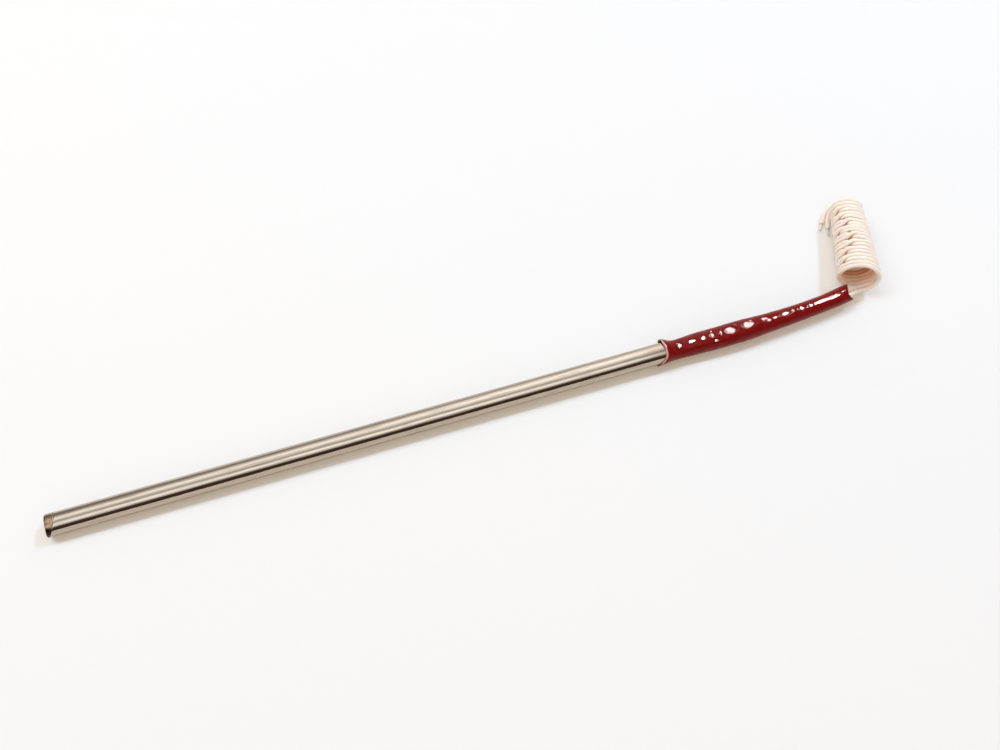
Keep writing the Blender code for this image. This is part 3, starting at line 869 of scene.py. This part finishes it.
# Studio that gloss mirrors, in degrees from straight up with the far side positive. Over the tube there are
# a dark room, a softbox, the gap beside it, another softbox and a wall. At the right, where the sleeve
# mirrors it, there are the room and a warm wall. The far bands turn and brighten from left to right
STUDIO_LEVEL = 2.3
STUDIO_SKEW = 0.55
STUDIO_GAIN = 1.5
ROOM = "302824"
SOFTBOX = "F0F5FF"
GAP = "8A9090"
WALL = "888888"
WARM_WALL = "C8B0A8"
STUDIO_BANDS = ((-60, ROOM), (-30, SOFTBOX), (-10, GAP), (30, SOFTBOX), (70, WALL))
RIGHT_BANDS = ((-20, ROOM), (90, WARM_WALL))
RIGHT_FROM = 0.3
RIGHT_TO = 0.42
# Fill light, and the share by which it is stronger from the front and weaker from the back
FILL = "FFEDE4"
FRONT_SHARE = 0.15
BACKDROP = "F2F2F2"


def paint_studio(scene, settings):
    """World: bright bands and darker walls, as the metal mirrors them, and a warm fill light."""
    world = bpy.data.worlds.new("studio")
    scene.world = world
    world.use_nodes = True
    tree = world.node_tree
    tree.nodes.clear()
    toward = add_node(tree, "TexCoord").outputs["Generated"]
    parts = add_node(tree, "SeparateXYZ", {"Vector": toward}).outputs
    angle = add_node(tree, "Math", {0: parts["Y"], 1: parts["Z"]}, operation="ARCTAN2")
    far = add_node(tree, "Math", {0: angle, 1: 0.0}, operation="MAXIMUM")
    skew = add_node(tree, "Math", {0: parts["X"], 1: -STUDIO_SKEW}, operation="MULTIPLY")
    skewed = add_node(tree, "Math", {0: far, 1: skew}, operation="MULTIPLY")
    angle = add_node(tree, "Math", {0: skewed, 1: angle}, operation="ADD")
    share = add_node(tree, "MapRange", {"Value": angle, "From Min": -math.pi / 2, "From Max": math.pi / 2})
    ramps = []
    for table in (STUDIO_BANDS, RIGHT_BANDS):
        ramp = add_node(tree, "ValToRGB", {"Fac": share})
        stops = ramp.color_ramp.elements
        stops.remove(stops[-1])
        for number, (degrees, code) in enumerate(table):
            position = (degrees + 90) / 180
            stop = stops[0] if number == 0 else stops.new(position)
            stop.position = position
            stop.color = shaded(linear(code))
        ramps.append(ramp)
    right = add_node(tree, "MapRange", {"Value": parts["X"], "From Min": RIGHT_FROM, "From Max": RIGHT_TO})
    bands = add_node(tree, "Mix", {"Factor": right, "A": ramps[0], "B": ramps[1]}, data_type="RGBA")

    gain = add_node(
        tree, "Math", {0: skewed, 1: -STUDIO_GAIN * STUDIO_LEVEL, 2: STUDIO_LEVEL}, operation="MULTIPLY_ADD"
    )
    studio = add_node(tree, "Background", {"Color": bands, "Strength": gain})
    level = settings.fill_level
    front = add_node(
        tree, "Math", {0: parts["Y"], 1: -FRONT_SHARE * level, 2: level}, operation="MULTIPLY_ADD"
    )
    fill = add_node(tree, "Background", {"Color": shaded(linear(FILL)), "Strength": front})
    rays, mirrored = ray_kinds(tree)
    lit = add_node(tree, "MixShader", {0: mirrored, 1: fill, 2: studio})
    backdrop = add_node(tree, "Background", {"Color": shaded(linear(BACKDROP)), "Strength": 1.0})
    shown = add_node(tree, "MixShader", {0: rays.outputs["Is Camera Ray"], 1: lit, 2: backdrop})
    add_node(tree, "OutputWorld", {"Surface": shown})


# PAIR_GAP is the leads' distance in diameters. A lead's thickness wavers by LEAD_WAVER, over LEAD_WAVES
# radians from one point to the next. INNER_SIDE and DEEP_SIDE bound the amber and the deep amber of the
# painted shade by how a spot faces
PAIR_GAP = 1.02
LEAD_SIDES = 20
LEAD_WAVER = 0.02
LEAD_WAVES = 0.9
INNER_SIDE = (-0.4, 0.5)
DEEP_SIDE = (0.4, 0.9)
STRANDS_ROUND = 6
STRAND_SIDES = 10
STRAND_POINTS = 13
STRAND_TWIST = math.radians(250)
STRAND_PACKING = 1.02
STRAND_SPREAD = 0.25
STRAND_ROOT = 0.4 * MM


def wind_lead(leg, sizes, braid, tinned):
    """One braided lead along its route, with its stripped strands."""
    path, level, outsides = lead_path(leg, PAIR_GAP * sizes.lead_diameter)
    radius = sizes.lead_diameter / 2
    mouth = sleeve_axis(SLEEVE_MOUTH) + COIL_OFFSET
    thickness = [radius * (1 + LEAD_WAVER * math.sin(LEAD_WAVES * number)) for number in range(len(path))]
    bm = swept_mesh()
    # The inside layer is painted shade: amber on the side of a turn that faces the coil's axis, more deeper in
    inside = bm.verts.layers.float.new("inside")
    sweep(bm, path, thickness, LEAD_SIDES)
    ring_of = bm.verts.layers.int["ring"]
    for vert in bm.verts:
        outward = outsides[vert[ring_of]]
        facing = (vert.co - path[vert[ring_of]]).normalized().dot(outward.normalized())
        within = fade((vert.co - mouth).dot(COIL_AXIS), 0.0, AMBER_DEPTH)
        amber = MOUTH_AMBER + within * (AMBER_SHARE - MOUTH_AMBER)
        amber += within * (1 - AMBER_SHARE) * fade(-facing, *DEEP_SIDE)
        vert[inside] = (1 - fade(facing, *INNER_SIDE)) * outward.length * amber
    lead = add_piece(f"braided_lead_{leg}", bm, braid, "cream_insulation", f"lead_coil_{leg}")

    bm = swept_mesh()
    start = path[-1] - STRAND_ROOT * level
    across = UP.cross(level)
    for strand in range(STRANDS_ROUND + 1):
        route = []
        for number in range(STRAND_POINTS):
            share = number / (STRAND_POINTS - 1)
            angle = 2 * math.pi * strand / STRANDS_ROUND + STRAND_TWIST * share
            reach = sizes.strand_diameter * (STRAND_PACKING + STRAND_SPREAD * share**4)
            if strand == STRANDS_ROUND:
                reach = 0.0
            aside = reach * (math.cos(angle) * across + math.sin(angle) * UP)
            route.append(start + level * (sizes.bare_length + STRAND_ROOT) * share + aside)
        sweep(bm, route, [sizes.strand_diameter / 2] * STRAND_POINTS, STRAND_SIDES)
    strands = add_piece(f"bare_strands_{leg}", bm, tinned, "tinned_copper", f"bare_end_{leg}")


ROUND_STEPS = 160
# The tip was ground and welded by hand. For its end and its weld: the distance from the tip, how far back
# the side toward the camera lies, and how far the far side does
END_LEAN = (0.0 * MM, 1.05 * MM, 0.2 * MM)
WELD_LEAN = (1.5 * MM, 1.8 * MM, 1.2 * MM)
LEAN_SOFTNESS = 0.25
TIP_REACH = 15 * MM


def slant_tip(bm):
    """Lean the tip's end and its weld, each its own way, and let the tube settle behind them."""
    for vert in bm.verts:
        upper = vert.co.dot(FACING) / SHEATH_HIGH.z
        upper = (upper + math.hypot(upper, LEAN_SOFTNESS)) / 2
        far = vert.co.dot(FAR_SIDE) / SHEATH_HIGH.z
        end, weld = (place + upper * back + far * skew for place, back, skew in (END_LEAN, WELD_LEAN))
        behind = vert.co.x - SHEATH_LOW.x
        if behind < 0:
            vert.co.x = end + (weld - end) * vert.co.x / SHEATH_LOW.x
        else:
            vert.co.x += (weld - SHEATH_LOW.x) * (1 - fade(behind, 0.0, TIP_REACH))


TUBE_EDGE = 0.1 * MM


def draw_sheath(sizes, steel):
    """Drawn tube with broken edges, from the weld to its open end inside the sleeve."""
    outer = sizes.sheath_radius
    inner = outer - sizes.sheath_wall
    start = SHEATH_LOW.x
    end = sizes.sheath_end
    edge = TUBE_EDGE
    profile = [(start, inner), (start, outer - edge)]
    profile += arc(start + edge, outer - edge, edge, 180, 90, 4)
    profile += [(start + 4 * edge, outer), (start + 20 * edge, outer)]
    profile += [(end - 20 * edge, outer), (end - 4 * edge, outer)]
    profile += arc(end - edge, outer - edge, edge, 90, 0, 4)
    profile += [(end, inner), (start, inner)]
    bm = turned(profile, ROUND_STEPS)
    slant_tip(bm)
    add_piece("drawn_sheath", bm, steel, "drawn_steel", "sheath_tube")


WELD_RIPPLES = 40
RIPPLE_SHARE = 0.3
BEAD_STEPS = 10
BEAD_GAP = 0.01 * MM
PLUG_INSET = 0.02 * MM
SPIGOT_GAP = 0.3 * MM
SPIGOT_CHAMFER = 0.4 * MM


def weld_tip(sizes, tinted):
    """Plug with a rounded edge, a rippled weld bead next to the tube, and its spigot in the tube."""
    outer = sizes.sheath_radius
    side = outer - PLUG_INSET
    spigot = outer - sizes.sheath_wall - SPIGOT_GAP
    bead_end = SHEATH_LOW.x - BEAD_GAP
    bead_start = bead_end - sizes.weld_width
    bead_middle = (bead_start + bead_end) / 2
    round_edge = sizes.tip_round
    profile = [(0.0, 0.0), (0.0, 0.5 * outer), (0.0, side - 1.6 * round_edge)]
    profile += arc(round_edge, side - round_edge, round_edge, 180, 90, 8)
    profile += [(1.2 * round_edge, side), (bead_start - 0.5 * sizes.weld_width, side)]
    for number in range(BEAD_STEPS + 1):
        share = number / BEAD_STEPS
        rise = (sizes.weld_height + PLUG_INSET) * math.sin(math.pi * share)
        profile.append((bead_start + sizes.weld_width * share, side + rise))
    profile += [(bead_end, spigot), (PLUG_END - SPIGOT_CHAMFER, spigot), (PLUG_END, spigot - SPIGOT_CHAMFER)]
    profile += [(PLUG_END, 0.0)]
    bm = turned(profile, ROUND_STEPS)
    for vert in bm.verts:
        reach = math.hypot(vert.co.y, vert.co.z)
        near = 1 - abs(vert.co.x - bead_middle) / (sizes.weld_width / 2)
        if near > 0 and reach > (spigot + side) / 2:
            angle = math.atan2(vert.co.z, vert.co.y)
            ripple = 1 + RIPPLE_SHARE * sizes.weld_height / reach * near * math.sin(WELD_RIPPLES * angle)
            vert.co.y *= ripple
            vert.co.z *= ripple
    slant_tip(bm)
    add_piece("welded_tip", bm, tinted, "weld_steel", "tip_plug")


# Outline of the shrunk sleeve: distance from its rim and outer radius
SLEEVE_OUTLINE = (
    (0.0 * MM, RIM_RADIUS),
    (0.7 * MM, 3.70 * MM),
    (1.5 * MM, 3.55 * MM),
    (2.5 * MM, 3.32 * MM),
    (4.4 * MM, 3.15 * MM),
    (8.5 * MM, 3.23 * MM),
    (12.5 * MM, 3.39 * MM),
    (17.0 * MM, 3.46 * MM),
    (26.5 * MM, 3.55 * MM),
    (32.4 * MM, 3.28 * MM),
    (39.4 * MM, 2.99 * MM),
    (46.5 * MM, 2.81 * MM),
    (56.5 * MM, 2.73 * MM),
    (62.5 * MM, 2.72 * MM),
    (66.7 * MM, 2.62 * MM),
)
SLEEVE_RINGS = 260
SLEEVE_SIDES = 128
# How far the sleeve sags below its middle line behind the tube, and where that starts and ends
SLEEVE_SAG = Vector((0.0, -0.1 * MM, -0.2 * MM))
SAG_RISE = (1.4 * MM, 4.4 * MM)
SAG_FALL = (19 * MM, 34 * MM)
# Waves over the splices: grain, and where they rise and fade out
WAVE_GRAIN = 2.6 * MM
WAVES = (4 * MM, 8 * MM, 46 * MM, 53 * MM)
# Flats that the shrinking leaves where the sleeve bridges the splices: distance from the rim, angle from
# the top toward the camera's side in degrees, half length, half width and depth
SLEEVE_FLATS = (
    (4.8 * MM, 8, 1.2 * MM, 0.8 * MM, 0.17 * MM),
    (9.1 * MM, 4, 2.0 * MM, 0.8 * MM, 0.24 * MM),
    (13.0 * MM, 3, 1.1 * MM, 0.9 * MM, 0.17 * MM),
    (16.0 * MM, 4, 0.9 * MM, 0.8 * MM, 0.15 * MM),
    (16.6 * MM, 40, 1.1 * MM, 0.8 * MM, 0.10 * MM),
    (16.2 * MM, -24, 0.9 * MM, 0.6 * MM, 0.09 * MM),
    (18.8 * MM, 2, 0.65 * MM, 1.1 * MM, 0.14 * MM),
    (22.3 * MM, 8, 2.1 * MM, 1.45 * MM, 0.29 * MM),
    (24.4 * MM, -24, 1.0 * MM, 0.6 * MM, 0.09 * MM),
    (28.6 * MM, 2, 2.4 * MM, 1.2 * MM, 0.26 * MM),
    (29.6 * MM, -20, 1.0 * MM, 0.6 * MM, 0.09 * MM),
    (34.2 * MM, -2, 1.5 * MM, 0.4 * MM, 0.10 * MM),
    (35.4 * MM, 11, 1.2 * MM, 0.4 * MM, 0.10 * MM),
    (41.6 * MM, 4, 1.9 * MM, 0.6 * MM, 0.12 * MM),
    (44.4 * MM, 1, 0.6 * MM, 0.4 * MM, 0.06 * MM),
    (47.5 * MM, 4, 1.1 * MM, 0.7 * MM, 0.10 * MM),
    (50.8 * MM, 4, 1.0 * MM, 0.5 * MM, 0.06 * MM),
    (57.5 * MM, 5, 5.6 * MM, 0.6 * MM, 0.05 * MM),
)
# Each flat faces FLAT_FACING from the top and falls toward the mouth, by less the nearer it is to
# LEVEL_FLATS_FROM. FLAT_SLOPE is the change of slope per metre, FLAT_EDGE bounds a flat's soft edge in
# shares of its half sizes, and FLAT_REACH keeps it on its side of the sleeve, in radians
LEVEL_FLATS_FROM = 60.1 * MM
FLAT_SLOPE = 2.38
FLAT_FACING = math.radians(5.5)
FLAT_ROUGHNESS = 0.006 * MM
FLAT_SOFTNESS = 0.03 * MM
FLAT_EDGE = (0.75, 1.25)
FLAT_REACH = 1.0
# Bulge on the far side, over the splice that lies nearest to it
SPLICE_BULGE = 0.25 * MM
OVER_SPLICE = (6 * MM, 9 * MM, 12 * MM, 18 * MM)
# Flares of both ends toward the far side, and a notch in the mouth toward the camera's side
FLARE_TOWARD = math.radians(-64)
RIM_FLARE = 0.5 * MM
RIM_FLARE_LENGTH = 2.5 * MM
MOUTH_FLARE = 0.38 * MM
MOUTH_FLARE_LENGTH = 11 * MM
MOUTH_NOTCH = 2.0 * MM
NOTCH_TOWARD = math.radians(26)
RAGGEDNESS = 0.3 * MM
RAGGED_GRAIN = 1.7
RIM_REACH = 4 * MM
MOUTH_REACH = 5 * MM
TUBE_ROOM = 0.02 * MM
RIM_ROUNDING = 0.06 * MM


def outline_radius(distance):
    """Radius of the sleeve at a distance from its rim, on a smooth curve through the outline."""
    knots = SLEEVE_OUTLINE
    last = len(knots) - 2
    number = next((n for n in range(last) if distance < knots[n + 1][0]), last)
    before, start, end, after = (knots[min(max(n, 0), last + 1)] for n in range(number - 1, number + 3))
    width = end[0] - start[0]
    share = share_between(distance, start[0], end[0])
    rise = (end[1] - before[1]) / (end[0] - before[0]) * width
    fall = (after[1] - start[1]) / (after[0] - start[0]) * width
    line = start[1] + (end[1] - start[1]) * fade(distance, start[0], end[0])
    return line + share * (1 - share) * ((1 - share) * rise - share * fall)


def sleeve_radius(sizes, distance, angle):
    """Radius of the sleeve's outside at a distance from the rim and an angle from the top."""
    radius = outline_radius(distance)
    spot = Vector((distance, radius * math.sin(angle), radius * math.cos(angle))) / WAVE_GRAIN
    radius += sizes.sleeve_unevenness * plateau(distance, *WAVES) * noise.noise(spot)
    for place, degrees, reach, width, depth in SLEEVE_FLATS:
        lean = math.radians(degrees)
        turn = math.remainder(angle - lean, 2 * math.pi)
        held = 1 - fade(math.hypot((distance - place) / reach, radius * turn / width), *FLAT_EDGE)
        if held > 0 and abs(turn) < FLAT_REACH:
            fall = FLAT_SLOPE * (LEVEL_FLATS_FROM - place) * (distance - place)
            level = outline_radius(place) * math.cos(lean - FLAT_FACING) - depth - fall
            level += FLAT_ROUGHNESS * noise.noise(spot * 2)
            over = radius - level / math.cos(angle - FLAT_FACING)
            radius -= held * (over + math.hypot(over, FLAT_SOFTNESS)) / 2
    radius += SPLICE_BULGE * plateau(distance, *OVER_SPLICE) * max(0.0, -math.sin(angle)) ** 6
    flare = MOUTH_FLARE * fade(distance, SLEEVE_LENGTH - MOUTH_FLARE_LENGTH, SLEEVE_LENGTH)
    flare += RIM_FLARE * (1 - fade(distance, 0.0, RIM_FLARE_LENGTH))
    return radius + flare * max(0.0, math.cos(angle - FLARE_TOWARD))


def shrink_sleeve(sizes, red):
    """Glossy sleeve: flared rim, neck on the tube, lumps over the splices and a smooth tail."""
    distances = [SLEEVE_LENGTH * number / (SLEEVE_RINGS - 1) for number in range(SLEEVE_RINGS)]
    path = [sleeve_axis(SLEEVE_LOW.x + distance) for distance in distances]
    bm = swept_mesh()
    sweep(bm, path, [1.0 * MM] * SLEEVE_RINGS, SLEEVE_SIDES, capped=False)
    ring_of = bm.verts.layers.int["ring"]
    for vert in bm.verts:
        centre = path[vert[ring_of]]
        distance = distances[vert[ring_of]]
        arm = vert.co - centre
        angle = math.atan2(-arm.dot(sleeve_across(centre.x)), arm.z)
        arm.normalize()
        ragged = RAGGEDNESS * noise.noise(Vector((math.cos(angle), math.sin(angle), 0.0)) * RAGGED_GRAIN)
        slant = RIM_SLANT * max(0.0, arm.dot(RIM_SLANT_TOWARD)) ** 2
        notch = MOUTH_NOTCH * max(0.0, math.cos(angle - NOTCH_TOWARD)) ** 2
        at_rim = 1 - share_between(distance, 0.0, RIM_REACH)
        at_mouth = share_between(distance, SLEEVE_LENGTH - MOUTH_REACH, SLEEVE_LENGTH)
        shift = ragged * (at_rim + at_mouth) - slant * at_rim - notch * at_mouth
        sag = fade(distance, *SAG_RISE) * (1 - share_between(distance, *SAG_FALL))
        vert.co = centre + arm * sleeve_radius(sizes, distance, angle)
        vert.co += sleeve_heading(centre.x) * shift + SLEEVE_SAG * sag
    piece = add_piece("heat_shrink_sleeve", bm, red, "red_heat_shrink", "shrink_sleeve")

    # The wall is thin where the sleeve hugs the tube
    group = piece.vertex_groups.new(name="wall")
    layer = piece.data.attributes["ring"].data
    for vert in piece.data.vertices:
        distance = distances[layer[vert.index].value]
        wall = sizes.sleeve_wall
        if SLEEVE_LOW.x + distance < sizes.sheath_end:
            room = outline_radius(distance) - sizes.sheath_radius - TUBE_ROOM
            wall = min(max(room, sizes.sleeve_neck_wall), wall)
        group.add([vert.index], wall / sizes.sleeve_wall, "REPLACE")
    wall = piece.modifiers.new("Wall", "SOLIDIFY")
    wall.thickness = sizes.sleeve_wall
    wall.offset = -1.0
    wall.vertex_group = group.name
    rounding = piece.modifiers.new("Rim", "BEVEL")
    rounding.width = RIM_ROUNDING
    rounding.segments = 2
    rounding.limit_method = "ANGLE"
    rounding.angle_limit = math.radians(60)


class FLAMEPROBE_PT_sidebar(bpy.types.Panel):
    """Operators and values of the probe"""

    bl_idname = "FLAMEPROBE_PT_sidebar"
    bl_label = "Flame Sensor Probe"
    bl_space_type = "VIEW_3D"
    bl_region_type = "UI"
    bl_category = "Probe"

    def draw(self, context):
        for operator in OPERATORS:
            self.layout.operator(operator.bl_idname)
        for name in GROUPS:
            group = getattr(context.scene, name)
            box = self.layout.box()
            for value in group.bl_rna.properties:
                if value.identifier not in ("rna_type", "name"):
                    box.prop(group, value.identifier)


OPERATORS = (
    FLAMEPROBE_OT_stage,
    FLAMEPROBE_OT_leads,
    FLAMEPROBE_OT_sheath,
    FLAMEPROBE_OT_sleeve,
    FLAMEPROBE_OT_inner_parts,
)
GROUPS = {"probe_sizes": ProbeSizes, "probe_colours": ProbeColours, "probe_stage": StageSettings}


def register():
    for group in GROUPS.values():
        bpy.utils.register_class(group)
    for name, group in GROUPS.items():
        setattr(bpy.types.Scene, name, PointerProperty(type=group))
    for item in (*OPERATORS, FLAMEPROBE_PT_sidebar):
        bpy.utils.register_class(item)


def unregister():
    for item in (FLAMEPROBE_PT_sidebar, *reversed(OPERATORS)):
        bpy.utils.unregister_class(item)
    for name in GROUPS:
        delattr(bpy.types.Scene, name)
    for group in GROUPS.values():
        bpy.utils.unregister_class(group)


def main():
    register()
    bpy.ops.flame_probe.stage()
    bpy.ops.flame_probe.leads()
    bpy.ops.flame_probe.sheath()
    bpy.ops.flame_probe.sleeve()
    bpy.ops.flame_probe.inner_parts()


if __name__ == "__main__":
    main()
